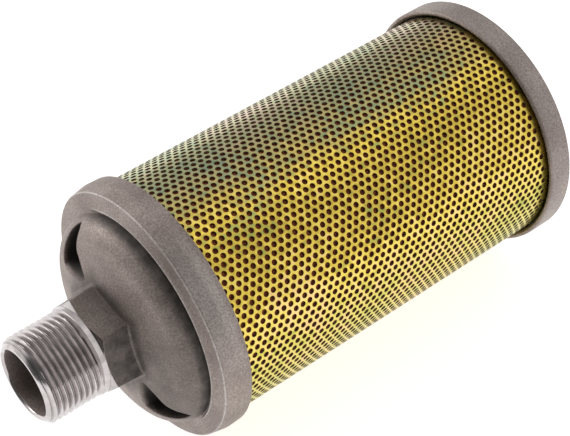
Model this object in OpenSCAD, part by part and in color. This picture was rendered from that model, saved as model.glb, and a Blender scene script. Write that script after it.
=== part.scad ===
// Pneumatic exhaust muffler with a male pipe thread, a perforated jacket and a tie rod.
// Units are millimetres. The muffler's axis is +X, from the mouth of the inlet to the
// closed end, and it lies on its two rims with +Z up. The origin is the middle of the
// inlet thread. Lengths named _x are distances along the axis from the tip of the thread.
// Every shape is first drawn along +Z, as if turned in a lathe, and then laid along +X.

/* [Inlet thread] */
// crest diameter of the 1 inch parallel pipe thread
thread_d = 33.25; // [20:0.05:60]
// root diameter of the thread
root_d = 30.3; // [18:0.05:58]
// thread pitch, 11 turns per inch
pitch = 2.309; // [1:0.001:4]
// number of full crests
crests = 9; // [4:1:14]
// distance from the tip to the middle of the first crest
first_crest = 2.8; // [1:0.1:6]
// flat width on each crest
crest_flat = 0.45; // [0.1:0.05:1]
// flat width at each root
root_flat = 0.4; // [0.1:0.05:1]
// diameter of the plain neck behind the thread
neck_d = 33.9; // [20:0.1:50]
// outside diameter of the narrow face at the tip
tip_d = 28.4; // [18:0.1:50]
// length of the chamfer that leads the thread in
lead_h = 0.9; // [0.2:0.1:3]
// diameter of the air passage
inlet_bore_d = 25.4; // [10:0.1:45]
// chamfer at the mouth of the passage
mouth_chamfer = 0.6; // [0:0.1:3]

/* [Hexagon] */
// distance from the tip to the front of the hexagon
hex_x = 24.3; // [10:0.1:50]
// hexagon across flats at its root
hex_af = 35.1; // [20:0.1:80]
// how much nearer the axis each flat lies at the hexagon's front
hex_draft = 0.5; // [0:0.05:2]
// distance from the tip to the hexagon's root on the dome
hex_root_x = 35.6; // [15:0.1:80]
// turned chamfer depth on the hexagon's front corners
hex_chamfer = 1.5; // [0:0.1:4]

/* [Dome] */
// dome radius where it meets the flange
dome_r = 41; // [25:0.1:80]
// distance from the tip to the foot of the dome
dome_x = 48; // [20:0.1:90]
// radius of the dome's rounded shoulder
dome_round = 9.2; // [2:0.1:20]
// slope of the dome's top, degrees
dome_slope = 14.6; // [0:0.1:40]
// radius from the axis where a pocket starts
pocket_r = 21; // [18:0.5:35]
// radius from the axis where a pocket ends
pocket_end_r = 38; // [30:0.5:40]
// distance of a pocket's near edge from its middle line
pocket_near = 6.5; // [2:0.5:12]
// how much further out the near edge is at the pocket's outer end
pocket_flare = 5; // [0:0.5:8]
// distance of a pocket's far edge from its middle line, where it is widest
pocket_far = 9; // [2:0.5:14]
// radius from the axis where a pocket is widest
pocket_wide_r = 29; // [24:0.5:34]
// distance from the tip to a pocket's floor at its inner end
pocket_floor_x = 41.4; // [36:0.1:46]
// distance from the tip to the rest of a pocket's floor
pocket_foot_x = 45.4; // [40:0.1:50]
// sideways offset of the pockets' middle line from the axis
pocket_off = 1.5; // [0:0.1:5]
// turn of the inlet casting about the axis, degrees
clock_deg = 40; // [0:1:60]

/* [Rims] */
// outside diameter of both rims
rim_d = 99; // [60:0.5:160]
// distance from the tip to the flange's front edge
flange_x = 49; // [25:0.1:90]
// distance from the tip to the flange's rear edge
flange_end_x = 60.1; // [30:0.1:110]
// distance from the tip to the mould's parting line on the flange
rim_part_x = 54.7; // [28:0.1:100]
// how much smaller the flange's front edge is in radius, for draft
rim_draft = 1; // [0:0.1:3]
// distance from the tip to the cap's front edge
cap_x = 205.1; // [100:0.1:400]
// distance from the tip to the cap's flat end
cap_end_x = 215.2; // [110:0.1:420]
// edge chamfer on the rims
rim_chamfer = 0.7; // [0:0.1:3]
// bevel inside the cap's front edge
cap_bevel = 0.9; // [0:0.1:3]
// plate thickness of the cap
cap_plate = 5; // [2:0.5:10]

/* [Jacket and core] */
// outside diameter of the perforated jacket
jacket_d = 93.3; // [50:0.1:150]
// sheet thickness of the jacket
jacket_t = 0.6; // [0.4:0.1:3]
// depth of the seat that takes the jacket in the inlet casting
seat_depth = 7; // [2:0.5:15]
// radial gap between the jacket and the castings
seat_gap = 0.6; // [0.1:0.1:2]
// outside diameter of the perforated core tube
core_d = 50; // [20:0.5:80]
// sheet thickness of the core tube
core_t = 1; // [0.5:0.1:3]
// radial gap between the core and its locating rings
locator_gap = 0.2; // [0.1:0.1:1]
// wall thickness of the locating rings
locator_t = 3; // [1:0.5:8]
// height of the locating rings
locator_h = 3; // [1:0.5:8]
// outside radius of the inner fibre pack
pack_r = 37; // [26:0.5:60]
// clearance round the fibre layers
soft_gap = 0.3; // [0.1:0.05:1]
// thickness of the jacket and core gaskets
gasket_t = 1; // [0.5:0.1:3]
// width of the jacket gaskets
jacket_gasket_w = 2.6; // [1:0.1:6]
// width of the core gaskets
core_gasket_w = 2.4; // [1:0.1:6]

/* [Tie rod] */
// tie rod diameter
rod_d = 8; // [5:0.5:16]
// clearance of a hole round the rod
rod_gap = 0.1; // [0.02:0.01:0.5]
// outside radius of the hub that holds the rod
hub_r = 8; // [5:0.5:12]
// length of the hub
hub_h = 8; // [4:0.5:20]
// thickness of the three webs that carry the hub
web_t = 5; // [2:0.5:10]
// nut across flats
nut_af = 13; // [8:0.5:30]
// nut height
nut_h = 6.5; // [3:0.5:15]
// flat washer outside diameter
washer_d = 20; // [12:0.5:40]
// flat washer thickness
washer_t = 1.6; // [0.5:0.1:4]
// sealing washer thickness
seal_t = 1; // [0.5:0.1:3]
// diameter of the cap's recess for the nut
recess_d = 26; // [15:0.5:50]
// depth of the recess
recess_deep = 10.5; // [3:0.5:14]
// wall thickness round and under the recess
boss_t = 4; // [2:0.5:8]

/* [Hidden] */
// facets of the turned faces
facets = 96;
// how far a cutting tool runs past the material
cut = 0.5;
// steps along the dome's rounded shoulder
shoulder_steps = 8;
// distance from the tip to the middle of the thread
origin_x = first_crest + (crests - 1) / 2 * pitch;
// distance from the tip to where the passage starts to widen
throat_x = 34.9;
// seat faces of the tubes in the inlet casting and in the cap
head_seat_x = flange_end_x - seat_depth;
cap_seat_x = cap_end_x - cap_plate;
// bore of both seats, round the jacket
seat_r = jacket_d / 2 + seat_gap;
// locating rings inside the ends of the core
locator_r = core_d / 2 - core_t - locator_gap;
locator_bore_r = locator_r - locator_t;
// ends of both tubes, between their gaskets
tube_x = head_seat_x + gasket_t;
tube_h = cap_seat_x - gasket_t - tube_x;
// ends of the fibre layers
soft_x = tube_x + soft_gap;
soft_h = tube_h - 2 * soft_gap;
// how far the hub stands behind the seat face
hub_proud = 2;
hub_x = head_seat_x - hub_h + hub_proud;
// directions of the webs, and how far they reach from the axis, into the casting's wall
web_angles = [0, 120, 240];
web_bite = 1.5;
web_reach = locator_bore_r + web_bite;
// floor of the cap's recess, and the stack on it
recess_x = cap_end_x - recess_deep;
washer_x = recess_x + seal_t;
nut_x = washer_x + washer_t;
// lengths that the rod shows before the hub and past the nut
rod_front = 1;
rod_tail = 0.9;
rod_x = hub_x - rod_front;
rod_h = nut_x + nut_h + rod_tail - rod_x;
// chamfer at the rod's ends
rod_chamfer = 0.8;
// length of the sloping run from the last thread root to the neck
run_out = 0.3;
// how far the hexagon runs on inside the dome, and the directions across its flats
hex_bury = 2;
flat_angles = [30, 90, 150];
// how far the turned bevel is drawn outside a hexagon's corners
corner_clear = 0.01;
// nut face inside its flats, and the angle of its bevels
nut_face_in = 0.2;
nut_bevel = 30;
// how far the seal is smaller than the washer, in radius
seal_in = 1;
// pocket cutter: room above the dome, and the curve of the far edge
pocket_above = 5;
pocket_curve = 0.4;
pocket_power = 1.65;
pocket_step = 1.7;

// lays a lathe-drawn shape along +X, starting at x from the tip
module along_x(x = 0) {
  translate([x - origin_x, 0, 0])
    rotate([0, 90, 0])
      children();
}

// plain tube, drawn along +Z
module ring(r_out, r_in, h) {
  difference() {
    cylinder(r = r_out, h = h, $fn = facets);
    translate([0, 0, -cut])
      cylinder(r = r_in, h = h + 2 * cut, $fn = facets);
  }
}

// corner radius of a hexagon with the given width across flats
function corner_r(af) = af / 2 / cos(30);

// threaded spigot: the thread is drawn as separate ridges, one for each crest
module spigot() {
  neck_x = first_crest + (crests - 0.5) * pitch + run_out;
  rotate_extrude($fn = facets)
    polygon([
      [0, 0],
      [tip_d / 2, 0],
      [root_d / 2, lead_h],
      for (i = [0 : crests - 1])
        each [
          [root_d / 2, first_crest + (i - 0.5) * pitch + root_flat / 2],
          [thread_d / 2, first_crest + i * pitch - crest_flat / 2],
          [thread_d / 2, first_crest + i * pitch + crest_flat / 2],
          [root_d / 2, first_crest + (i + 0.5) * pitch - root_flat / 2]
        ],
      [neck_d / 2, neck_x],
      [neck_d / 2, hex_x + cut],
      [0, hex_x + cut]
    ]);
}

// cast hexagon for the spanner, with draft, and with its front corners turned off
module hexagon() {
  hex_h = hex_root_x - hex_x;
  tall = hex_h + hex_bury;
  front = hex_af / 2 - hex_draft;
  back = front + hex_draft * tall / hex_h;
  outer_r = corner_r(2 * back) + corner_clear;
  translate([0, 0, hex_x])
    intersection() {
      intersection_for(a = flat_angles)
        rotate([0, 0, a])
          translate([0, outer_r, 0])
            rotate([90, 0, 0])
              linear_extrude(height = 2 * outer_r)
                polygon([[-front, 0], [front, 0], [back, tall], [-back, tall]]);
      rotate_extrude($fn = facets)
        polygon([[0, 0], [neck_d / 2, 0], [outer_r, hex_chamfer], [outer_r, tall], [0, tall]]);
    }
}

// dome and flange as one turned body
module dome_body() {
  centre_r = dome_r - dome_round;
  top_r = centre_r + dome_round * sin(dome_slope);
  top_x = dome_x - dome_round * cos(dome_slope);
  root_x = top_x - top_r * tan(dome_slope);
  front_r = rim_d / 2 - rim_draft;
  rotate_extrude($fn = facets)
    polygon([
      [0, root_x],
      for (i = [0 : shoulder_steps])
        let (a = dome_slope + (90 - dome_slope) * i / shoulder_steps)
          [centre_r + dome_round * sin(a), dome_x - dome_round * cos(a)],
      [front_r - rim_chamfer, flange_x],
      [front_r, flange_x + rim_chamfer],
      [rim_d / 2, rim_part_x],
      [rim_d / 2, flange_end_x - rim_chamfer],
      [rim_d / 2 - rim_chamfer, flange_end_x],
      [0, flange_end_x]
    ]);
}

// how far a pocket's far edge is from its middle line at a radius
function pocket_edge(r) =
  pocket_far - pocket_curve * pow(abs(r - pocket_wide_r), pocket_power);

// one blind pocket in the dome's shoulder, on the +Y side
module pocket() {
  top = hex_root_x - pocket_above;
  intersection() {
    linear_extrude(height = pocket_foot_x)
      translate([pocket_off, 0])
        polygon(concat(
          [for (r = [pocket_r : pocket_step : pocket_end_r]) [pocket_edge(r), r]],
          [
            [-pocket_near - pocket_flare, pocket_end_r],
            [-pocket_near, pocket_wide_r + pocket_step],
            [-pocket_near, pocket_r]
          ]
        ));
    translate([rim_d / 2, 0, 0])
      rotate([0, -90, 0])
        linear_extrude(height = rim_d)
          polygon([
            [top, pocket_r - pocket_step],
            [pocket_floor_x, pocket_r - pocket_step],
            [pocket_floor_x, pocket_r + pocket_step],
            [pocket_foot_x + cut, pocket_wide_r],
            [pocket_foot_x + cut, pocket_end_r + pocket_step],
            [top, pocket_end_r + pocket_step]
          ]);
  }
}

// passage from the mouth to the back of the casting, drawn as the air in it
module passage() {
  rotate_extrude($fn = facets)
    polygon([
      [0, -cut],
      [inlet_bore_d / 2 + mouth_chamfer + cut, -cut],
      [inlet_bore_d / 2, mouth_chamfer],
      [inlet_bore_d / 2, throat_x],
      [locator_bore_r, head_seat_x],
      [locator_bore_r, flange_end_x + cut],
      [0, flange_end_x + cut]
    ]);
}

// three webs and a tapped hub that hold the tie rod in the passage
module spider() {
  difference() {
    translate([0, 0, hub_x])
      union() {
        cylinder(r = hub_r, h = hub_h, $fn = facets / 2);
        for (a = web_angles)
          rotate([0, 0, a])
            translate([0, -web_t / 2, 0])
              cube([web_reach, web_t, hub_h]);
      }
    translate([0, 0, hub_x - cut])
      cylinder(d = rod_d + 2 * rod_gap, h = hub_h + 2 * cut, $fn = facets / 2);
  }
}

module inlet_head() {
  color([0.6, 0.57, 0.55])
    along_x()
      rotate([0, 0, clock_deg])
        union() {
          difference() {
            union() {
              spigot();
              hexagon();
              dome_body();
            }
            passage();
            for (side = [0, 1])
              mirror([0, side, 0])
                pocket();
            translate([0, 0, head_seat_x])
              ring(seat_r, locator_r, seat_depth + cut);
            translate([0, 0, head_seat_x + locator_h])
              cylinder(r = locator_r + cut, h = seat_depth, $fn = facets);
          }
          spider();
        }
}

module end_cap() {
  rim_r = rim_d / 2;
  boss_r = recess_d / 2 + boss_t;
  bottom = recess_x - boss_t;
  color([0.58, 0.55, 0.53])
    along_x()
      rotate_extrude($fn = facets)
        polygon([
          [rod_d / 2 + rod_gap, bottom],
          [boss_r, bottom],
          [boss_r, cap_seat_x],
          [locator_bore_r, cap_seat_x],
          [locator_bore_r, cap_seat_x - locator_h],
          [locator_r, cap_seat_x - locator_h],
          [locator_r, cap_seat_x],
          [seat_r, cap_seat_x],
          [seat_r, cap_x + cap_bevel],
          [seat_r + cap_bevel, cap_x],
          [rim_r - rim_chamfer, cap_x],
          [rim_r, cap_x + rim_chamfer],
          [rim_r, cap_end_x - rim_chamfer],
          [rim_r - rim_chamfer, cap_end_x],
          [recess_d / 2, cap_end_x],
          [recess_d / 2, recess_x],
          [rod_d / 2 + rod_gap, recess_x]
        ]);
}

module outer_screen() {
  color([0.85, 0.75, 0.35])
    along_x(tube_x)
      ring(jacket_d / 2, jacket_d / 2 - jacket_t, tube_h);
}

module inner_core() {
  color([0.75, 0.75, 0.78])
    along_x(tube_x)
      ring(core_d / 2, core_d / 2 - core_t, tube_h);
}

module felt_wrap() {
  color([0.35, 0.2, 0.14])
    along_x(soft_x)
      ring(jacket_d / 2 - jacket_t - soft_gap, pack_r + soft_gap, soft_h);
}

module fibre_pack() {
  color([0.8, 0.76, 0.66])
    along_x(soft_x)
      ring(pack_r, core_d / 2 + soft_gap, soft_h);
}

// gasket under an end of the jacket
module jacket_gasket(x) {
  gasket_r = seat_r - soft_gap;
  color([0.3, 0.32, 0.3])
    along_x(x)
      ring(gasket_r, gasket_r - jacket_gasket_w, gasket_t);
}

module head_gasket() {
  jacket_gasket(head_seat_x);
}

module cap_gasket() {
  jacket_gasket(cap_seat_x - gasket_t);
}

// gasket under an end of the core
module core_gasket(x) {
  gasket_r = locator_r + locator_gap;
  color([0.3, 0.32, 0.3])
    along_x(x)
      ring(gasket_r + core_gasket_w, gasket_r, gasket_t);
}

module core_gasket_head() {
  core_gasket(head_seat_x);
}

module core_gasket_cap() {
  core_gasket(cap_seat_x - gasket_t);
}

module tie_rod() {
  r = rod_d / 2;
  color([0.7, 0.71, 0.73])
    along_x(rod_x)
      rotate_extrude($fn = facets / 2)
        polygon([
          [0, 0],
          [r - rod_chamfer, 0],
          [r, rod_chamfer],
          [r, rod_h - rod_chamfer],
          [r - rod_chamfer, rod_h],
          [0, rod_h]
        ]);
}

// hexagon nut with turned corners at both ends
module nut() {
  corner = corner_r(nut_af);
  face_r = nut_af / 2 - nut_face_in;
  bevel = (corner - face_r) * tan(nut_bevel);
  outer_r = corner + corner_clear;
  difference() {
    intersection() {
      cylinder(r = corner, h = nut_h, $fn = 6);
      rotate_extrude($fn = facets / 2)
        polygon([
          [0, 0],
          [face_r, 0],
          [outer_r, bevel],
          [outer_r, nut_h - bevel],
          [face_r, nut_h],
          [0, nut_h]
        ]);
    }
    translate([0, 0, -cut])
      cylinder(d = rod_d + 2 * rod_gap, h = nut_h + 2 * cut, $fn = facets / 2);
  }
}

module hub_nut() {
  color([0.72, 0.72, 0.75])
    along_x(hub_x + hub_h)
      nut();
}

module cap_nut() {
  color([0.72, 0.72, 0.75])
    along_x(nut_x)
      nut();
}

module flat_washer() {
  color([0.76, 0.76, 0.78])
    along_x(washer_x)
      ring(washer_d / 2, rod_d / 2 + 2 * rod_gap, washer_t);
}

module seal_washer() {
  color([0.2, 0.2, 0.22])
    along_x(recess_x)
      ring(washer_d / 2 - seal_in, rod_d / 2 + 2 * rod_gap, seal_t);
}

inlet_head();
end_cap();
outer_screen();
inner_core();
felt_wrap();
fibre_pack();
head_gasket();
cap_gasket();
core_gasket_head();
core_gasket_cap();
tie_rod();
hub_nut();
cap_nut();
flat_washer();
seal_washer();
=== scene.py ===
import math

import bmesh
import bpy
import numpy as np
from mathutils import Matrix, Vector


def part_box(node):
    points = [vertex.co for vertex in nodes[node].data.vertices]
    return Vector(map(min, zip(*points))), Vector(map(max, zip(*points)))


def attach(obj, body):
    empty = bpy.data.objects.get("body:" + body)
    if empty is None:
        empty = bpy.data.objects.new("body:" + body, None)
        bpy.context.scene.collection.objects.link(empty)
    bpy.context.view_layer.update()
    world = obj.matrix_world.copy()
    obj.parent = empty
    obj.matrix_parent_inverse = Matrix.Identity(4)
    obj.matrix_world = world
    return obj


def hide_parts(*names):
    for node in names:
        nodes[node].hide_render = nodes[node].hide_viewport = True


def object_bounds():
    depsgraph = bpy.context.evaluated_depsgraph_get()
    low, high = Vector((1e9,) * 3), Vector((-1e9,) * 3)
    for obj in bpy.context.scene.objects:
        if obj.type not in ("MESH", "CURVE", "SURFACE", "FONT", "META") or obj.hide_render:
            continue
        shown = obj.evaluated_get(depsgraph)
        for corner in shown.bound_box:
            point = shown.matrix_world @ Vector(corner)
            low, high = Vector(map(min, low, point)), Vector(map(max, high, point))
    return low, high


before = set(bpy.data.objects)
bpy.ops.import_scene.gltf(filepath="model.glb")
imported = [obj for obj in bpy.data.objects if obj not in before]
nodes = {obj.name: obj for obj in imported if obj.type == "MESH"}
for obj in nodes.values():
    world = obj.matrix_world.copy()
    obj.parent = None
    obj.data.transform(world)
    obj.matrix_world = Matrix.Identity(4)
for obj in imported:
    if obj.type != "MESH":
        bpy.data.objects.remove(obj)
cad_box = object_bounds()

MM = 0.001
HEAD_LOW, HEAD_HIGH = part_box("inlet_head")
CAP_LOW, CAP_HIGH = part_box("end_cap")
SCREEN_LOW, SCREEN_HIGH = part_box("outer_screen")
CORE_LOW, CORE_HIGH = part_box("inner_core")
FELT_LOW, FELT_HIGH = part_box("felt_wrap")
FIBRE_LOW, FIBRE_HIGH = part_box("fibre_pack")
ROD_LOW, ROD_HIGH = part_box("tie_rod")

# Every length below is in millimetres. A distance along the axis is from the start of the
# thread, and the mouth of the inlet stands LEAD in front of it.
LEAD = 0.9
START = HEAD_LOW.x / MM + LEAD


def along(metres):
    return metres / MM - START


FLANGE_END = along(HEAD_HIGH.x)
RIM_R = HEAD_HIGH.y / MM
CAP_END = along(CAP_HIGH.x)
CAP_X = CAP_END - 10.1
JACKET_R = SCREEN_HIGH.y / MM
JACKET_T = 0.6
SEAT_R = JACKET_R + 0.6
GASKET_T = 1.0
HEAD_SEAT = along(SCREEN_LOW.x) - GASKET_T
CAP_SEAT = along(SCREEN_HIGH.x) + GASKET_T


# ---------------------------------------------------------------- camera, floor and light

def make_camera():
    data = bpy.data.cameras.new("camera")
    data.sensor_width = 36.0
    data.lens = 106.72
    data.clip_end = 20.0
    cam = bpy.data.objects.new("camera", data)
    bpy.context.scene.collection.objects.link(cam)
    right = Vector((0.7676, -0.6409, 0.0)).normalized()
    forward = Vector((0.4579, 0.5484, -0.6998)).normalized()
    up = right.cross(forward).normalized()
    turn = Matrix((right, up, -forward)).transposed()
    cam.matrix_world = Matrix.Translation((-0.18085, -0.34047, 0.44078)) @ turn.to_4x4()
    bpy.context.scene.camera = cam
    return cam


camera = make_camera()


# ---------------------------------------------------------------- node material helpers

class Mat:
    """A node material with short ways to add and join its nodes."""

    def __init__(self, name):
        self.mat = bpy.data.materials.new(name)
        self.mat.use_nodes = True
        self.tree = self.mat.node_tree
        self.tree.nodes.clear()
        self.out = self.tree.nodes.new("ShaderNodeOutputMaterial")
        self.bsdf = self.tree.nodes.new("ShaderNodeBsdfPrincipled")
        self.tree.links.new(self.bsdf.outputs[0], self.out.inputs[0])
        self.coords = self.tree.nodes.new("ShaderNodeTexCoord").outputs["Object"]

    def set(self, **values):
        for key, value in values.items():
            self.bsdf.inputs[key.replace("_", " ")].default_value = value
        return self

    def node(self, kind, **fields):
        made = self.tree.nodes.new(kind)
        for key, value in fields.items():
            setattr(made, key, value)
        return made

    def put(self, socket, value):
        if hasattr(value, "is_output") or isinstance(value, bpy.types.NodeSocket):
            self.tree.links.new(value, socket)
        else:
            socket.default_value = value

    def math(self, operation, a, b=0.0, c=None, clamp=False):
        made = self.node("ShaderNodeMath", operation=operation, use_clamp=clamp)
        self.put(made.inputs[0], a)
        self.put(made.inputs[1], b)
        if c is not None:
            self.put(made.inputs[2], c)
        return made.outputs[0]

    def scaled(self, x, y, z):
        made = self.node("ShaderNodeMapping")
        self.put(made.inputs["Vector"], self.coords)
        made.inputs["Scale"].default_value = (x, y, z)
        return made.outputs[0]

    def noise(self, scale, detail=3.0, rough=0.5, vector=None, warp=0.0):
        made = self.node("ShaderNodeTexNoise")
        self.put(made.inputs["Vector"], vector or self.coords)
        made.inputs["Scale"].default_value = scale
        made.inputs["Detail"].default_value = detail
        made.inputs["Roughness"].default_value = rough
        made.inputs["Distortion"].default_value = warp
        return made.outputs["Fac"]

    def cells(self, scale, feature="F1", vector=None):
        made = self.node("ShaderNodeTexVoronoi", feature=feature)
        self.put(made.inputs["Vector"], vector or self.coords)
        made.inputs["Scale"].default_value = scale
        return made.outputs["Distance"]

    def ramp(self, fac, *stops):
        made = self.node("ShaderNodeValToRGB")
        self.put(made.inputs[0], fac)
        elements = made.color_ramp.elements
        while len(elements) < len(stops):
            elements.new(0.5)
        for element, (place, colour) in zip(elements, stops):
            element.position = place
            element.color = (*colour, 1.0)
        return made.outputs[0]

    def span(self, fac, low, high, to_low, to_high):
        made = self.node("ShaderNodeMapRange", clamp=True)
        self.put(made.inputs["Value"], fac)
        made.inputs["From Min"].default_value = low
        made.inputs["From Max"].default_value = high
        made.inputs["To Min"].default_value = to_low
        made.inputs["To Max"].default_value = to_high
        return made.outputs[0]

    def mix(self, fac, a, b, blend="MIX"):
        made = self.node("ShaderNodeMix", data_type="RGBA", blend_type=blend)
        self.put(made.inputs[0], fac)
        self.put(made.inputs[6], (*a, 1.0) if isinstance(a, tuple) else a)
        self.put(made.inputs[7], (*b, 1.0) if isinstance(b, tuple) else b)
        return made.outputs[2]

    def bump(self, height, distance, strength=1.0, below=None):
        made = self.node("ShaderNodeBump")
        made.inputs["Strength"].default_value = strength
        made.inputs["Distance"].default_value = distance
        self.put(made.inputs["Height"], height)
        if below is not None:
            self.put(made.inputs["Normal"], below)
        return made.outputs[0]

    def done(self, colour=None, rough=None, normal=None):
        if colour is not None:
            self.put(self.bsdf.inputs["Base Color"], colour)
        if rough is not None:
            self.put(self.bsdf.inputs["Roughness"], rough)
        if normal is not None:
            self.put(self.bsdf.inputs["Normal"], normal)
        return self.mat


def casting_material(name, dark, mid, light):
    """Cast aluminium: matt grey. A positive shade value on the mesh darkens it as painted shade, and a negative one
    lightens it as a painted highlight.
    """
    m = Mat(name).set(Metallic=0.7)
    blotch = m.noise(55.0, 4.0, 0.6)
    grain = m.noise(1500.0, 2.0, 0.6)
    tone = m.math("ADD", m.math("MULTIPLY", blotch, 0.42), m.math("MULTIPLY", grain, 0.58))
    colour = m.ramp(tone, (0.36, dark), (0.5, mid), (0.64, light))
    fleck = m.span(m.cells(900.0), 0.05, 0.22, 0.3, 0.0)
    colour = m.mix(fleck, colour, light)
    held = m.node("ShaderNodeAttribute", attribute_name="shade").outputs["Fac"]
    # painted highlight: negative shade values lighten the colour
    painted_highlight = m.math("MULTIPLY", m.span(held, -1.0, 0.0, 1.0, 0.0), m.span(grain, 0.3, 0.6, 0.4, 1.0))
    colour = m.mix(painted_highlight, colour, (0.74, 0.71, 0.69))
    # painted shade: positive shade values darken the colour, unevenly by a noise
    patch = m.span(m.noise(170.0, 4.0, 0.65), 0.35, 0.68, 0.75, 1.15)
    amount = m.math("MULTIPLY", held, patch, clamp=True)
    colour = m.mix(amount, colour, (0.075, 0.066, 0.06))
    rough = m.span(m.noise(220.0, 3.0, 0.6), 0.3, 0.7, 0.46, 0.62)
    fine = m.bump(grain, 0.00005, 0.6)
    normal = m.bump(m.noise(420.0, 3.0, 0.55), 0.00009, 0.6, below=fine)
    return m.done(colour, rough, normal)


def machined_material(name):
    m = Mat(name).set(Metallic=1.0)
    turned = m.noise(1.0, 3.0, 0.7, vector=m.scaled(9000.0, 120.0, 120.0))
    smear = m.noise(160.0, 3.0, 0.6)
    colour = m.ramp(smear, (0.3, (0.46, 0.42, 0.42)), (0.55, (0.6, 0.56, 0.56)), (0.75, (0.72, 0.68, 0.68)))
    # painted shade: the mesh's shade value darkens the turned metal in the thread roots, at the hexagon's chamfer and
    # in the cap's recess
    held = m.node("ShaderNodeAttribute", attribute_name="shade").outputs["Fac"]
    colour = m.mix(m.math("MULTIPLY", held, 0.9, clamp=True), colour, (0.1, 0.088, 0.08))
    rough = m.span(smear, 0.3, 0.7, 0.11, 0.2)
    normal = m.bump(turned, 0.000004, 0.2)
    return m.done(colour, rough, normal)


def chromate_material(name):
    """Yellow passivated zinc with pink clouds, which is its own colour. The tint also swings from gold on one side to
    paler and greener on the other, by which way the surface faces round the axis: painted reflection.
    """
    m = Mat(name).set(Metallic=1.0)
    facing = m.node("ShaderNodeMapping")
    m.put(facing.inputs["Vector"], m.coords)
    facing.inputs["Rotation"].default_value = (math.radians(-128.0), 0.0, 0.0)
    place = m.node("ShaderNodeSeparateXYZ")
    m.put(place.inputs[0], facing.outputs[0])
    angle = m.math("ARCTAN2", place.outputs["Z"], place.outputs["Y"])
    cloud = m.noise(26.0, 4.0, 0.65, vector=m.scaled(0.7, 1.0, 1.0), warp=0.5)
    fine = m.noise(330.0, 3.0, 0.65)
    wander = m.math("ADD", m.math("MULTIPLY", cloud, 1.1), m.math("MULTIPLY", fine, 0.5))
    # painted reflection: the gold, pale and bright mixes follow which way the surface faces round the axis
    side = m.math("ADD", angle, m.math("SUBTRACT", wander, 0.8))
    pale = m.span(side, -0.85, -0.3, 1.0, 0.0)
    straw = m.span(side, 0.45, 0.85, 0.0, 1.0)
    mingled = m.math("ADD", m.math("MULTIPLY", cloud, 0.45), m.math("MULTIPLY", fine, 0.55))
    gold = m.ramp(
        mingled,
        (0.38, (0.4, 0.44, 0.1)),
        (0.46, (0.66, 0.49, 0.08)),
        (0.53, (0.86, 0.65, 0.1)),
        (0.6, (0.98, 0.78, 0.2)),
        (0.67, (0.92, 0.52, 0.3)),
    )
    green = m.ramp(
        mingled,
        (0.38, (0.36, 0.45, 0.28)),
        (0.5, (0.58, 0.57, 0.3)),
        (0.62, (0.72, 0.55, 0.42)),
    )
    light = m.ramp(
        mingled,
        (0.38, (0.54, 0.54, 0.1)),
        (0.5, (0.82, 0.69, 0.15)),
        (0.62, (0.92, 0.64, 0.27)),
    )
    colour = m.mix(pale, m.mix(straw, gold, light), green)
    rough = m.span(m.noise(300.0, 3.0, 0.6), 0.3, 0.7, 0.22, 0.34)
    normal = m.bump(m.noise(700.0, 2.0, 0.6), 0.00003, 0.35)
    return m.done(colour, rough, normal)


def felt_material(name, dark, mid, light, scale):
    m = Mat(name).set(Sheen_Weight=0.3, Sheen_Roughness=0.5)
    tuft = m.noise(scale, 5.0, 0.7, warp=1.2)
    thread = m.noise(scale * 5.0, 3.0, 0.7, vector=m.scaled(1.0, 0.35, 1.0))
    tone = m.math("ADD", m.math("MULTIPLY", tuft, 0.65), m.math("MULTIPLY", thread, 0.35))
    colour = m.ramp(tone, (0.35, dark), (0.5, mid), (0.68, light))
    normal = m.bump(tone, 0.0004, 0.9)
    m.set(Roughness=0.92)
    return m.done(colour, None, normal)


def zinc_material(name, base, grooves=(1.0, 1.0, 1.0)):
    m = Mat(name).set(Metallic=1.0)
    fine = m.noise(900.0, 3.0, 0.6, vector=m.scaled(*grooves))
    cloud = m.noise(220.0, 3.0, 0.6)
    dark = tuple(c * 0.78 for c in base)
    light = tuple(min(c * 1.12, 1.0) for c in base)
    colour = m.ramp(cloud, (0.3, dark), (0.5, base), (0.72, light))
    rough = m.span(fine, 0.3, 0.7, 0.24, 0.4)
    normal = m.bump(fine, 0.00003, 0.5)
    return m.done(colour, rough, normal)


def dull_material(name, dark, mid, light, rough_low, rough_high, depth):
    m = Mat(name)
    fleck = m.noise(900.0, 4.0, 0.7)
    cloud = m.noise(260.0, 3.0, 0.6)
    tone = m.math("ADD", m.math("MULTIPLY", fleck, 0.6), m.math("MULTIPLY", cloud, 0.4))
    colour = m.ramp(tone, (0.35, dark), (0.5, mid), (0.66, light))
    rough = m.span(cloud, 0.3, 0.7, rough_low, rough_high)
    normal = m.bump(fleck, depth, 0.6)
    return m.done(colour, rough, normal)


CAST = casting_material("cast_grey", (0.228, 0.181, 0.163), (0.328, 0.27, 0.246), (0.48, 0.412, 0.38))
TURNED = machined_material("turned_bright")
CHROMATE = chromate_material("yellow_chromate")
PUNCHED = dull_material("punched_edge", (0.1, 0.075, 0.04), (0.17, 0.13, 0.07), (0.26, 0.2, 0.11), 0.5, 0.65, 0.00002)
FELT = felt_material("felt_brown", (0.12, 0.03, 0.012), (0.36, 0.085, 0.026), (0.7, 0.19, 0.06), 600.0)
FIBRE = felt_material("fibre_straw", (0.3, 0.25, 0.17), (0.5, 0.44, 0.33), (0.68, 0.62, 0.5), 420.0)
ZINC = zinc_material("zinc_bright", (0.62, 0.63, 0.66))
STEEL = zinc_material("rod_zinc", (0.55, 0.56, 0.58), (0.2, 1.0, 1.0))
CORE = zinc_material("core_zinc", (0.6, 0.61, 0.63))
GASKET = dull_material("gasket_sheet", (0.09, 0.11, 0.1), (0.16, 0.18, 0.165), (0.24, 0.26, 0.24), 0.7, 0.85, 0.00006)
SEAL = dull_material("seal_rubber", (0.018, 0.018, 0.02), (0.03, 0.03, 0.032), (0.05, 0.05, 0.052), 0.5, 0.68, 0.00003)


# ---------------------------------------------------------------- mesh helpers

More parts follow.
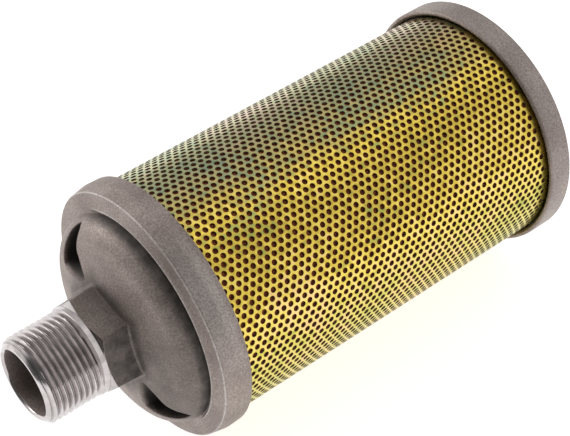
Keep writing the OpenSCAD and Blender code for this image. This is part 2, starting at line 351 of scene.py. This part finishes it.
def mesh_object(name, points, faces, slots=None, materials=(), crease=40.0, shade=None):
    """An object from points in metres, with its faces turned outward."""
    mesh = bpy.data.meshes.new(name)
    mesh.from_pydata(points, [], faces)
    for material in materials:
        mesh.materials.append(material)
    if slots is not None:
        mesh.polygons.foreach_set("material_index", np.asarray(slots, np.int32))
    work = bmesh.new()
    work.from_mesh(mesh)
    bmesh.ops.recalc_face_normals(work, faces=work.faces)
    work.to_mesh(mesh)
    work.free()
    if shade is not None:
        held = mesh.attributes.new("shade", "FLOAT", "POINT")
        held.data.foreach_set("value", np.asarray(shade, np.float32))
    mesh.polygons.foreach_set("use_smooth", np.ones(len(mesh.polygons), bool))
    mesh.set_sharp_from_angle(angle=math.radians(crease))
    mesh.update()
    made = bpy.data.objects.new(name, mesh)
    bpy.context.scene.collection.objects.link(made)
    return made


class Skin:
    """A closed skin of rings about the X axis. Each ring has one (x, r) for every column angle."""

    def __init__(self, angles):
        self.angles = np.asarray(angles, float)
        self.count = len(self.angles)
        self.x, self.r, self.shade = [], [], []
        self.faces, self.slots = [], []
        self.slot = 0
        self.last = None

    def add_row(self, x, r, shade=0.0):
        for rows, value in ((self.x, x), (self.r, r), (self.shade, shade)):
            rows.append(np.broadcast_to(np.asarray(value, float), (self.count,)))
        return len(self.x) - 1

    def join(self, a, b):
        m = self.count
        for j in range(m):
            k = (j + 1) % m
            self.faces.append((a * m + j, b * m + j, b * m + k, a * m + k))
            self.slots.append(self.slot)

    def ring(self, x, r, shade=0.0):
        row = self.add_row(x, r, shade)
        if self.last is not None:
            self.join(self.last, row)
        self.last = row
        return row

    def close(self, first):
        self.join(self.last, first)

    def helix(self, start, end, pitch, phases, radius, crest, shade=lambda r: 0.0):
        """A right-handed screw surface from start to end. radius(x, phase) gives its rows' radii,
        phase 0 is at crest for the angle 0, and shade(r) darkens a row."""
        m = self.count
        turn = self.angles / (2 * math.pi)
        per = len(phases)
        before = int(math.ceil((crest - start) / pitch)) + 1
        turns = before + int(math.ceil((end - crest) / pitch)) + 1
        rows = []
        for t in range(turns):
            for phase in phases:
                x = crest + (t - before + phase + turn) * pitch
                x = np.clip(x, start, end)
                r = radius(x, phase)
                rows.append(self.add_row(x, r, shade(r)))
        first, last = self.last, rows[-1]
        if first is not None:
            self.join(first, rows[0])
        for i in range(len(rows) - 1):
            a, b = rows[i], rows[i + 1]
            for j in range(m - 1):
                self.faces.append((a * m + j, b * m + j, b * m + j + 1, a * m + j + 1))
                self.slots.append(self.slot)
            if i + 1 + per < len(rows):
                c, d = rows[i + per], rows[i + 1 + per]
                self.faces.append((a * m + m - 1, b * m + m - 1, d * m, c * m))
                self.slots.append(self.slot)
        self.last = last

    def points(self):
        x, r = np.array(self.x), np.array(self.r)
        y, z = r * np.cos(self.angles), r * np.sin(self.angles)
        return np.stack([x + START, y, z], -1).reshape(-1, 3) * MM

    def build(self, name, materials, crease=40.0):
        points = self.points()
        _, first, same = np.unique(
            np.round(points / 2e-7).astype(np.int64), axis=0, return_index=True, return_inverse=True
        )
        welded = same.reshape(-1)[np.array(self.faces)]
        faces, slots = [], []
        for loop, slot in zip(welded.tolist(), self.slots):
            kept = [v for i, v in enumerate(loop) if v != loop[i - 1]]
            if len(set(kept)) == len(kept) > 2:
                faces.append(kept)
                slots.append(slot)
        shade = np.array(self.shade).reshape(-1)[first]
        return mesh_object(name, points[first], faces, slots, materials, crease, shade)


def even_angles(count, offset=0.0):
    return offset + np.arange(count) * 2 * math.pi / count


def smooth(t):
    t = np.clip(t, 0.0, 1.0)
    return t * t * (3 - 2 * t)


def arc(centre_x, centre_r, radius, start, end, steps):
    """Points (x, r) on an arc. An angle of 0 is +r and 90 is +x."""
    out = []
    for i in range(steps + 1):
        a = math.radians(start + (end - start) * i / steps)
        out.append((centre_x + radius * math.sin(a), centre_r + radius * math.cos(a)))
    return out


# ---------------------------------------------------------------- inlet casting

CLOCK = math.radians(40.0)
HEX_FRONT, HEX_BACK = 34.1, 35.1
THREAD_R, ROOT_R, PITCH = 16.625, 15.15, 2.309
NECK_R, TIP_R, BORE_R = 16.95, 14.2, 12.7
DOME_R, DOME_X, DOME_ROUND, DOME_SLOPE = 41.0, 47.1, 9.2, math.radians(14.6)
LOCATOR_R, LOCATOR_BORE, LOCATOR_H = 23.8, 20.8, 3.0
THROAT_X = 34.0
FIRST_CREST = 0.3


def head_columns():
    """Column angles, closer together where they cross the two channels."""
    degrees = []
    a = 0.0
    while a < 360.0:
        degrees.append(a)
        near = min(abs((a - c + 180) % 360 - 180) for c in (40.0, 220.0))
        a = round(a + (0.5 if near < 27.0 else 1.0), 3)
    return np.radians(degrees)


def hexagon_r(angles, flats, round_r):
    """Radius of a hexagon with its flats' normals at CLOCK + 60 k, and slightly rounded corners."""
    a = (angles - CLOCK + math.pi / 6) % (math.pi / 3) - math.pi / 6
    half = flats / 2
    r = half / np.cos(a)
    corner = half / math.cos(math.pi / 6)
    centre = corner - round_r / math.cos(math.pi / 6)
    off = math.pi / 6 - np.abs(a)
    inside = round_r ** 2 - (centre * np.sin(off)) ** 2
    rounded = centre * np.cos(off) + np.sqrt(np.clip(inside, 0, None))
    limit = math.atan2(round_r * math.sin(math.pi / 6), centre + round_r * math.cos(math.pi / 6))
    return np.where(off < limit, rounded, r)


def channel_mask(x, r, angles):
    """How far a point lies in a pocket, 0 to 1, and the pocket floor's x there."""
    y, z = r * np.cos(angles), r * np.sin(angles)
    v = np.abs(y * math.cos(CLOCK) + z * math.sin(CLOCK))
    u = y * math.sin(CLOCK) - z * math.cos(CLOCK) - 1.5
    near = -6.5 - 5.0 * smooth((v - 30.5) / 6.5)
    far = 9.0 - 0.4 * np.abs(v - 29.0) ** 1.65
    mask = smooth((0.5 + u - near) / 1.3) * smooth((1.0 + far - u) / 3.0)
    mask = mask * smooth((v - 19.9) / 2.2) * smooth((38.9 - v) / 1.6)
    floor = 40.5 + smooth((v - 21.0) / 8.0) * 4.0
    return mask, floor


def make_head():
    angles = head_columns()
    skin = Skin(angles)
    # mouth of the passage and the turned tip
    skin.slot = 1
    first = skin.ring(0.8 - LEAD, BORE_R)
    skin.ring(0.62 - LEAD, BORE_R + 0.04)
    skin.ring(0.12 - LEAD, BORE_R + 0.54)
    skin.ring(-LEAD, BORE_R + 0.7)
    skin.ring(-LEAD, TIP_R - 0.15)
    skin.ring(0.08 - LEAD, TIP_R)
    start, end = 0.0, 21.4
    skin.ring(start, TIP_R + LEAD)

    depth = THREAD_R - ROOT_R
    phases = (0.0, 0.06, 0.12, 0.25, 0.38, 0.44, 0.5, 0.56, 0.62, 0.75, 0.88, 0.94)
    falls = ((0.01, 1.0), (0.07, 0.97), (0.13, 0.82), (0.26, 0.5), (0.39, 0.18), (0.45, 0.03), (0.6, 0.0))
    heights = {p: next(h for limit, h in falls if min(p, 1 - p) < limit) for p in phases}

    def thread_r(x, phase):
        r = ROOT_R + depth * heights[phase]
        lead = TIP_R + LEAD + (x - start)
        tail = NECK_R - np.clip(end - x, 0, None) * 1.7
        return np.minimum(np.maximum(r, tail), lead)

    # painted shade: the rows near the thread's roots are darkened
    def painted_root_shade(r):
        return 0.5 * smooth((THREAD_R - 0.55 - r) / 0.8) * (r > TIP_R + 0.5)

    skin.helix(start, end, PITCH, phases, thread_r, FIRST_CREST, painted_root_shade)
    skin.ring(end, NECK_R)
    for x in (21.9, 22.6):
        skin.ring(x, NECK_R)

    # cast hexagon with draft, its front corners turned off
    hexa = hexagon_r(angles, HEX_FRONT, 0.7)
    chamfer_x = 23.35 + np.clip(hexa - HEX_FRONT / 2, 0, None) * 0.455
    # painted shade: the neck and the chamfer are darkened a little
    skin.ring(23.3, NECK_R, 0.15)
    skin.ring(chamfer_x - 0.04, hexa - 0.06, 0.3)
    skin.slot = 0
    local = np.degrees(angles)
    # painted shade on the hexagon's flats: lighter on the flats below 134 degrees, and darker towards the dome
    painted_hex_shade = 0.8 - 0.42 * smooth((134.0 - local) / 8.0)
    skin.ring(chamfer_x + 0.12, hexa, painted_hex_shade)

    # the dome's top surface, as x for a radius
    centre_r = DOME_R - DOME_ROUND
    top_r = centre_r + DOME_ROUND * math.sin(DOME_SLOPE)
    top_x = DOME_X - DOME_ROUND * math.cos(DOME_SLOPE)

    def top(r):
        return top_x - (top_r - r) * math.tan(DOME_SLOPE)

    fillet = 0.8
    hexa = hexagon_r(angles, HEX_BACK, 0.7)
    root_x = top(hexa + fillet * 0.75)
    rows = 8
    for i in range(1, rows + 1):
        t = i / rows
        flats = HEX_FRONT + (HEX_BACK - HEX_FRONT) * t
        along_x = (chamfer_x + 0.12) * (1 - t) + (root_x - fillet) * t
        skin.ring(along_x, hexagon_r(angles, flats, 0.7), painted_hex_shade + 0.15 * t)
    # painted shade in the fillet between the hexagon and the dome
    for i in range(1, 6):
        a = math.pi / 2 * i / 5
        shade = 0.9 - 0.45 * math.sin(a)
        skin.ring(root_x - fillet * (1 - math.sin(a)), hexa + fillet * (1 - math.cos(a)), shade)

    def cut(x, r, shade=0.0):
        mask, floor = channel_mask(x, r, angles)
        deeper = np.maximum(floor - x, 0.0)
        # painted shade in the pockets, darker where they are deeper
        dark = np.clip(mask * deeper / 3.0, 0.0, 1.0) * 1.6
        return x + mask * deeper, r, np.maximum(dark, shade)

    lip = smooth((local - 52.0) / 14.0) * smooth((216.0 - local) / 14.0)
    # painted shade on the dome's lower side, from about 122 to 228 degrees
    low_side = 0.5 * smooth((local - 122.0) / 40.0) * smooth((228.0 - local) / 25.0)
    inner = hexa + fillet
    steps = 26
    # painted shade on the dome's top, darkest at the hexagon's root
    for i in range(1, steps + 1):
        t = i / steps
        r = inner + (top_r - inner) * t
        skin.ring(*cut(top(r) + 0 * r, r, np.maximum(0.75 * (1 - smooth((r - inner) / 8.0)), low_side)))
    # painted shade on the outer part of the dome's rounded wall, on the near side
    steps = 22
    for i in range(1, steps + 1):
        a = DOME_SLOPE + (math.pi / 2 - DOME_SLOPE) * i / steps
        x = DOME_X - DOME_ROUND * math.cos(a) - 0.35 * (i == steps)
        r = centre_r + DOME_ROUND * math.sin(a)
        skin.ring(*cut(x + 0 * angles, r + 0 * angles, np.maximum(1.0 * smooth((a - 0.9) / 0.5) * lip, low_side)))

    # groove and lip at the dome's foot, on the near side only, with painted shade in the groove and a painted
    # highlight on the lip's edge
    def face(r):
        return DOME_X + (r - DOME_R) * (1.0 / 7.8)

    skin.ring(DOME_X - 0.08 + 0.45 * lip, DOME_R + 0.12, 0.6 * lip)
    skin.ring(face(41.5) + 0.5 * lip, 41.5, 0.7 * lip)
    skin.ring(face(41.9) + 0.15 * lip, 41.9, 0.3 * lip)
    skin.ring(face(42.1) - 0.42 * lip, 42.1, -0.7 * lip)
    skin.ring(face(42.35) - 0.5 * lip, 42.35, -0.8 * lip)
    skin.ring(face(42.8) - 0.36 * lip, 42.8)
    # painted shade on the flange's face next to the dome, on the near side
    dim = 0.3 * smooth(1.0 - np.abs(local - 122.0) / 34.0)
    skin.ring(face(43.8) - 0.12 * lip, 43.8, dim)
    skin.ring(face(45.5), 45.5, dim)
    skin.ring(face(47.0), 47.0, dim)
    edge, draft = 0.5, 1.0
    edge_r = RIM_R - draft - edge
    front = face(edge_r)
    skin.ring(front - 0.03, edge_r - 0.3)
    # painted highlight along the flange's front edge
    for i in range(0, 5):
        a = math.pi / 2 * i / 4
        skin.ring(front + edge * (1 - math.cos(a)), edge_r + edge * math.sin(a), -0.6 if i in (1, 2, 3) else 0.0)
    parting = 53.8
    # painted highlight on the flange's side, round 135 degrees
    painted_rim_highlight = -0.35 * smooth(1.0 - np.abs(local - 135.0) / 45.0)
    for t in (0.1, 0.3, 0.6, 0.93):
        skin.ring(front + edge + (parting - front - edge) * t, RIM_R - draft * (1 - t), painted_rim_highlight)
    skin.ring(parting, RIM_R, painted_rim_highlight)
    skin.ring(parting + 0.4, RIM_R, painted_rim_highlight)
    skin.ring(parting + 2.4, RIM_R - 0.06, painted_rim_highlight)
    back = FLANGE_END
    for i in range(0, 5):
        a = math.pi / 2 * i / 4
        skin.ring(back - 0.6 * (1 - math.sin(a)), RIM_R - 0.15 - 0.6 * (1 - math.cos(a)))
    skin.ring(back, SEAT_R + 0.45)
    skin.ring(back - 0.12, SEAT_R + 0.12)
    skin.ring(back - 0.45, SEAT_R)
    # seat of the jacket, locating ring and passage
    skin.ring(HEAD_SEAT + 0.3, SEAT_R)
    skin.ring(HEAD_SEAT, SEAT_R - 0.3)
    for r in (42.0, 34.0, 27.0, LOCATOR_R + 0.25):
        skin.ring(HEAD_SEAT, r)
    skin.ring(HEAD_SEAT + 0.25, LOCATOR_R)
    skin.ring(HEAD_SEAT + LOCATOR_H - 0.4, LOCATOR_R)
    skin.ring(HEAD_SEAT + LOCATOR_H, LOCATOR_R - 0.4)
    skin.ring(HEAD_SEAT + LOCATOR_H, LOCATOR_BORE + 0.3)
    skin.ring(HEAD_SEAT + LOCATOR_H - 0.3, LOCATOR_BORE)
    skin.ring(HEAD_SEAT, LOCATOR_BORE)
    # painted shade in the passage, darkest in the throat
    for i in range(1, 9):
        t = i / 8
        skin.ring(HEAD_SEAT + (THROAT_X - HEAD_SEAT) * t, LOCATOR_BORE + (BORE_R - LOCATOR_BORE) * t, 0.8)
    for x in (26.0, 18.0, 10.0, 4.0):
        skin.ring(x, BORE_R, 0.25)
    skin.close(first)
    return skin.build("inlet_head_cast", (CAST, TURNED), 34.0)


def make_spider():
    """The hub and three webs in the passage, as one closed skin."""
    hub_r, bore_r, half, reach = 8.0, 4.1, 2.5, 22.3
    x_low, x_high, edge = 46.2, 54.2, 0.4
    webs = [CLOCK + math.radians(a) for a in (-90.0, 30.0, 150.0)]
    tip = math.asin(half / reach)
    foot = math.asin(half / hub_r)
    angles = set()
    for web in webs:
        for off in (0.0, tip * 0.5, tip, tip * 1.3, (tip + foot) / 2, foot, foot + 0.12, foot + 0.3, foot + 0.5):
            angles.update((round((web + off) % (2 * math.pi), 6), round((web - off) % (2 * math.pi), 6)))
    angles = np.array(sorted(angles))
    outline = np.full(len(angles), hub_r)
    for web in webs:
        off = np.abs((angles - web + math.pi) % (2 * math.pi) - math.pi)
        arm = np.minimum(reach / np.cos(off), half / np.maximum(np.sin(off), 1e-6))
        outline = np.where(off < foot, np.maximum(outline, arm), outline)
    skin = Skin(angles)
    # painted shade: the spider sits deep in the passage and is darkened all over
    first = skin.ring(x_low + edge, bore_r, 0.8)
    skin.ring(x_low, bore_r + edge, 0.8)
    skin.ring(x_low, outline - edge, 0.8)
    skin.ring(x_low + edge, outline, 0.8)
    skin.ring(x_high - edge, outline, 0.8)
    skin.ring(x_high, outline - edge, 0.8)
    skin.ring(x_high, bore_r + edge, 0.8)
    skin.ring(x_high - edge, bore_r, 0.8)
    skin.close(first)
    return skin.build("inlet_head_spider", (CAST, TURNED), 30.0)


def unite(body, tool):
    """Adds the tool's solid to the body's mesh and removes the tool."""
    joined = body.modifiers.new("union", "BOOLEAN")
    joined.operation = "UNION"
    joined.solver = "MANIFOLD"
    joined.object = tool
    view = bpy.context.evaluated_depsgraph_get()
    mesh = bpy.data.meshes.new_from_object(body.evaluated_get(view))
    body.modifiers.clear()
    body.data = mesh
    bpy.data.objects.remove(tool)


head = make_head()
unite(head, make_spider())
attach(head, "root")
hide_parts("inlet_head")


# ---------------------------------------------------------------- perforated tubes

def perforated(name, outer_r, sheet, x_low, x_high, rows, pitch, hole_d, phase, materials, sides=12):
    """A tube of sheet with staggered round holes, as one closed mesh. phase holds a hole's x and its angle in rows."""
    inner_r = outer_r - sheet
    mid_r = outer_r
    step = 2 * math.pi * mid_r / rows
    y1 = (step ** 2 - pitch ** 2 / 4) / (2 * step)
    y2 = step - y1
    first = phase[0] - pitch * int((phase[0] - x_low - 1.2 * pitch) // pitch)
    per = int((x_high - first - 1.7 * pitch) // pitch) + 1
    turned = phase[1] * step / mid_r
    corners = [(pitch / 2, y1), (0.0, y2), (-pitch / 2, y1), (-pitch / 2, -y1), (0.0, -y2), (pitch / 2, -y1)]
    points, index = [], {}
    faces, walls = [], []

    def key_point(x, s, layer):
        s = s % (2 * math.pi * mid_r)
        key = (round(x * 1e4), round(s * 1e4) % round(2 * math.pi * mid_r * 1e4), layer)
        if key not in index:
            index[key] = len(points)
            r = outer_r if layer == 0 else inner_r
            a = s / mid_r + turned
            points.append((x, r * math.cos(a), r * math.sin(a)))
        return index[key]

    angles = [2 * math.pi * k / sides for k in range(sides)]
    hr = hole_d / 2
    per_corner = sides // 6
    for j in range(rows):
        s0 = j * step
        for i in range(per):
            x0 = first + i * pitch + (pitch / 2 if j % 2 else 0.0)
            rings = []
            for r_cyl in (outer_r, inner_r):
                base = len(points)
                for a in angles:
                    x = x0 + hr * math.cos(a)
                    t = (s0 + hr * math.sin(a)) / mid_r + turned
                    points.append((x, r_cyl * math.cos(t), r_cyl * math.sin(t)))
                rings.append(base)
            top_ring, low_ring = rings
            for k in range(sides):
                n = (k + 1) % sides
                walls.append(len(faces))
                faces.append((top_ring + k, low_ring + k, low_ring + n, top_ring + n))
            for c in range(6):
                d = (c + 1) % 6
                k0 = (per_corner // 2 + c * per_corner) % sides
                hole = [(k0 + q) % sides for q in range(per_corner + 1)]
                for layer, base in ((0, top_ring), (1, low_ring)):
                    a = key_point(x0 + corners[c][0], s0 + corners[c][1], layer)
                    b = key_point(x0 + corners[d][0], s0 + corners[d][1], layer)
                    loop = [a, b] + [base + h for h in reversed(hole)]
                    faces.append(tuple(loop if layer == 0 else reversed(loop)))
    # plain margins and the two cut edges
    for low in (True, False):
        edge_x = x_low if low else x_high
        sign = -1 if low else 1
        chain = []
        for j in range(rows):
            x0 = first + (0.0 if low else (per - 1) * pitch) + (pitch / 2 if j % 2 else 0.0)
            x = x0 + sign * pitch / 2
            chain += [(x, j * step - y1), (x, j * step + y1)]
        for j in range(len(chain)):
            for (xa, sa), (xb, sb) in [(chain[j], chain[(j + 1) % len(chain)])]:
                loops = []
                for layer in (0, 1):
                    p, q = key_point(xa, sa, layer), key_point(xb, sb, layer)
                    e, f = key_point(edge_x, sa, layer), key_point(edge_x, sb, layer)
                    faces.append((p, q, f, e))
                    loops.append((e, f))
                (e0, f0), (e1, f1) = loops
                faces.append((e0, f0, f1, e1))
    placed = (np.array(points) + (START, 0.0, 0.0)) * MM
    slots = np.zeros(len(faces), int)
    slots[walls] = 1
    return mesh_object(name, placed, faces, slots, materials)


TUBE_X, TUBE_END = along(SCREEN_LOW.x), along(SCREEN_HIGH.x)
SCREEN_ROWS, SCREEN_PITCH, SCREEN_HOLE = 110, 3.066, 2.2
jacket = perforated(
    "outer_screen_sheet", JACKET_R, JACKET_T, TUBE_X, TUBE_END,
    SCREEN_ROWS, SCREEN_PITCH, SCREEN_HOLE, (59.983, 1.8544), (CHROMATE, PUNCHED),
)
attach(jacket, "root")
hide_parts("outer_screen")

core = perforated(
    "inner_core_tube", CORE_HIGH.y / MM, 1.0, along(CORE_LOW.x), along(CORE_HIGH.x),
    36, 5.0, 3.0, (60.0, 0.5), (CORE, CORE),
)
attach(core, "root")
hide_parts("inner_core")


# ---------------------------------------------------------------- end cap

def make_cap():
    skin = Skin(even_angles(240))
    plate, round_r, recess_r, recess_x, boss_r, bore_r = CAP_SEAT, 0.7, 13.0, 203.8, 17.0, 4.1
    bottom = recess_x - 4.0
    rim = RIM_R
    # painted shade where the cap meets the jacket's seat
    first = skin.ring(plate, SEAT_R, 0.9)
    skin.ring(CAP_X + 1.0, SEAT_R, 0.9)
    skin.ring(CAP_X + 0.25, SEAT_R + 0.7, 0.5)
    skin.ring(CAP_X, SEAT_R + 1.0)
    skin.ring(CAP_X, rim - round_r - 0.1)
    for i in range(1, 6):
        a = math.pi / 2 * i / 5
        skin.ring(CAP_X + round_r * (1 - math.cos(a)), rim - 0.1 - round_r * (1 - math.sin(a)))
    # painted highlight on the cap's rim
    for t in (0.1, 0.5, 0.9):
        skin.ring(CAP_X + (CAP_END - CAP_X) * t, rim, -0.15)
    for i in range(0, 6):
        a = math.pi / 2 * i / 5
        skin.ring(CAP_END - round_r * (1 - math.sin(a)), rim - round_r * (1 - math.cos(a)))
    for r in (44.0, 36.0, 28.0, 20.0):
        skin.ring(CAP_END, r)
    skin.ring(CAP_END, recess_r + 0.6)
    skin.slot = 1
    # painted shade in the cap's recess
    skin.ring(CAP_END - 0.6, recess_r)
    skin.ring(CAP_END - 4.0, recess_r, 0.2)
    skin.ring(recess_x + 0.3, recess_r, 0.5)
    skin.ring(recess_x, recess_r - 0.3, 0.5)
    skin.ring(recess_x, bore_r + 0.3, 0.2)
    skin.ring(recess_x - 0.3, bore_r)
    skin.slot = 0
    skin.ring(bottom, bore_r)
    skin.ring(bottom, boss_r - 0.6)
    skin.ring(bottom + 0.6, boss_r)
    skin.ring(plate, boss_r)
    skin.ring(plate, LOCATOR_BORE)
    skin.ring(plate - LOCATOR_H + 0.3, LOCATOR_BORE)
    skin.ring(plate - LOCATOR_H, LOCATOR_BORE + 0.3)
    skin.ring(plate - LOCATOR_H, LOCATOR_R - 0.4)
    skin.ring(plate - LOCATOR_H + 0.4, LOCATOR_R)
    skin.ring(plate, LOCATOR_R)
    for r in (30.0, 38.0):
        skin.ring(plate, r)
    skin.close(first)
    return skin.build("end_cap_cast", (CAST, TURNED), 34.0)


cap = make_cap()
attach(cap, "root")
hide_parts("end_cap")


# ---------------------------------------------------------------- felt and fibre

def make_sleeve(name, node, r_out, r_in, columns, step, lump, material, seed):
    """A sleeve of loose fibre: its outer face is lumpy, and its ends are rounded and uneven."""
    low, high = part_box(node)
    x_low, x_high = along(low.x), along(high.x)
    rows = int((x_high - x_low) / step)
    skin = Skin(even_angles(columns))
    draw = np.random.default_rng(seed)
    grid = draw.random((rows + 1, columns))
    for _ in range(2):
        grid = (grid + np.roll(grid, 1, 1) + np.roll(grid, -1, 1)) / 3
        grid[1:-1] = (grid[1:-1] + grid[:-2] + grid[2:]) / 3
    grid = (grid - grid.min()) / (grid.max() - grid.min())
    first = skin.ring(x_low + 0.8, r_in)
    skin.ring(x_low + 0.1 * grid[0], r_in + 0.9)
    skin.ring(x_low + 0.1 * grid[0], r_out - 0.9)
    for i in range(rows + 1):
        x = x_low + 0.7 + (x_high - x_low - 1.4) * i / rows
        skin.ring(x, r_out - lump * grid[i])
    skin.ring(x_high - 0.1 * grid[-1], r_out - 0.9)
    skin.ring(x_high - 0.1 * grid[-1], r_in + 0.9)
    skin.ring(x_high - 0.8, r_in)
    skin.close(first)
    sleeve = skin.build(name, (material,), 80.0)
    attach(sleeve, "root")
    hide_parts(node)
    return sleeve


FELT_R, FELT_BORE = FELT_HIGH.z / MM, 37.3
FIBRE_R, FIBRE_BORE = FIBRE_HIGH.z / MM, 25.3
felt = make_sleeve("felt_wrap_sleeve", "felt_wrap", FELT_R, FELT_BORE, 288, 1.0, 0.35, FELT, 11)
fibre = make_sleeve("fibre_pack_sleeve", "fibre_pack", FIBRE_R, FIBRE_BORE, 144, 1.6, 0.6, FIBRE, 12)


# ---------------------------------------------------------------- tie rod

def make_rod():
    """The through rod, threaded at both ends, with a plain shank of the thread's pitch diameter."""
    x_low, x_high = along(ROD_LOW.x), along(ROD_HIGH.x)
    crest_r, root_r, shank_r, pitch, length, chamfer = 3.98, 3.32, 3.6, 1.25, 22.0, 0.8
    phases = (0.0, 0.15, 0.3, 0.5, 0.7, 0.85)
    skin = Skin(even_angles(36))

    def thread(start, end, lead_in, lead_out):
        def radius(x, phase):
            away = min(phase, 1 - phase) * 2
            r = crest_r - (crest_r - root_r) * smooth(away)
            r = np.minimum(r, crest_r - chamfer + (x - start) if lead_in else 9.0)
            r = np.minimum(r, crest_r - chamfer + (end - x) if lead_out else 9.0)
            if not lead_in:
                r = np.where(x - start < 0.6, np.maximum(r, shank_r), r)
            if not lead_out:
                r = np.where(end - x < 0.6, np.maximum(r, shank_r), r)
            return r
        skin.helix(start, end, pitch, phases, radius, start + pitch)

    first = skin.ring(x_low, 0.0)
    skin.ring(x_low, crest_r - chamfer)
    thread(x_low, x_low + length, True, False)
    skin.ring(x_low + length, shank_r)
    skin.ring(x_high - length, shank_r)
    thread(x_high - length, x_high, False, True)
    skin.ring(x_high, crest_r - chamfer)
    skin.ring(x_high, 0.0)
    return skin.build("tie_rod_threaded", (STEEL,), 40.0)


rod = make_rod()
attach(rod, "root")
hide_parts("tie_rod")


# ---------------------------------------------------------------- materials of the CAD nodes that stay

CARRIED = {
    "head_gasket": GASKET,
    "cap_gasket": GASKET,
    "core_gasket_head": GASKET,
    "core_gasket_cap": GASKET,
    "hub_nut": ZINC,
    "cap_nut": ZINC,
    "flat_washer": ZINC,
    "seal_washer": SEAL,
}
for node_name, material in CARRIED.items():
    slots = nodes[node_name].material_slots
    if not slots:
        nodes[node_name].data.materials.append(material)
    for held in slots:
        held.material = material


# ---------------------------------------------------------------- floor and lights

def make_floor():
    work = bmesh.new()
    bmesh.ops.create_grid(work, x_segments=8, y_segments=8, size=3.0)
    mesh = bpy.data.meshes.new("floor")
    work.to_mesh(mesh)
    work.free()
    made = bpy.data.objects.new("floor", mesh)
    made.location.z = cad_box[0][2] if not hasattr(cad_box[0], "z") else cad_box[0].z
    bpy.context.scene.collection.objects.link(made)
    m = Mat("floor_white").set(Roughness=0.9, Emission_Strength=0.78, Emission_Color=(1.0, 1.0, 1.0, 1.0))
    colour = m.ramp(m.noise(3.0, 2.0), (0.3, (0.7, 0.7, 0.7)), (0.7, (0.72, 0.72, 0.72)))
    made.data.materials.append(m.done(colour))
    return made


def area_light(name, place, target, size, power, colour=(1.0, 1.0, 1.0), size_y=None):
    data = bpy.data.lights.new(name, "AREA")
    data.shape = "RECTANGLE"
    data.size = size
    data.size_y = size_y or size
    data.energy = power
    data.color = colour
    made = bpy.data.objects.new(name, data)
    made.location = place
    made.rotation_euler = (Vector(target) - Vector(place)).to_track_quat("-Z", "Y").to_euler()
    bpy.context.scene.collection.objects.link(made)
    return made


def make_world():
    """A white studio tent, dimmer behind the object and round the camera."""
    world = bpy.data.worlds.new("studio")
    world.use_nodes = True
    tree = world.node_tree
    background = tree.nodes["Background"]
    coords = tree.nodes.new("ShaderNodeTexCoord")
    level = None
    for toward, start, full, change in WORLD_ZONES:
        dot = tree.nodes.new("ShaderNodeVectorMath")
        dot.operation = "DOT_PRODUCT"
        tree.links.new(coords.outputs["Generated"], dot.inputs[0])
        dot.inputs[1].default_value = Vector(toward).normalized()
        span = tree.nodes.new("ShaderNodeMapRange")
        span.interpolation_type = "SMOOTHSTEP"
        tree.links.new(dot.outputs["Value"], span.inputs["Value"])
        span.inputs["From Min"].default_value = start
        span.inputs["From Max"].default_value = full
        span.inputs["To Min"].default_value = 0.0
        span.inputs["To Max"].default_value = change
        add = tree.nodes.new("ShaderNodeMath")
        add.operation = "ADD"
        tree.links.new(span.outputs["Result"], add.inputs[0])
        if level is None:
            add.inputs[1].default_value = WORLD_LEVEL
        else:
            tree.links.new(level, add.inputs[1])
        level = add.outputs[0]
    background.inputs[0].default_value = (1.0, 0.99, 0.98, 1.0)
    tree.links.new(level, background.inputs[1])
    bpy.context.scene.world = world


WORLD_LEVEL = 0.78
WORLD_ZONES = (
    ((0.62, 0.78, 0.1), 0.72, 0.95, -0.24),
    ((-0.75, -0.5, 0.5), 0.5, 0.68, -0.68),
    ((0.5, -0.85, 0.1), 0.8, 0.97, 0.12),
    ((0.46, -0.03, 0.89), 0.95, 0.985, 0.3),
    ((0.4, 0.4, 0.82), 0.8, 0.96, -0.13),
    ((-0.15, 1.0, 0.1), 0.8, 0.95, 0.3),
)
make_floor()
make_world()
MIDDLE = (0.09, 0.0, 0.0)
area_light("fill", (-0.5, 1.1, 0.7), MIDDLE, 0.8, 4.0)

bpy.context.scene.view_settings.view_transform = "Standard"
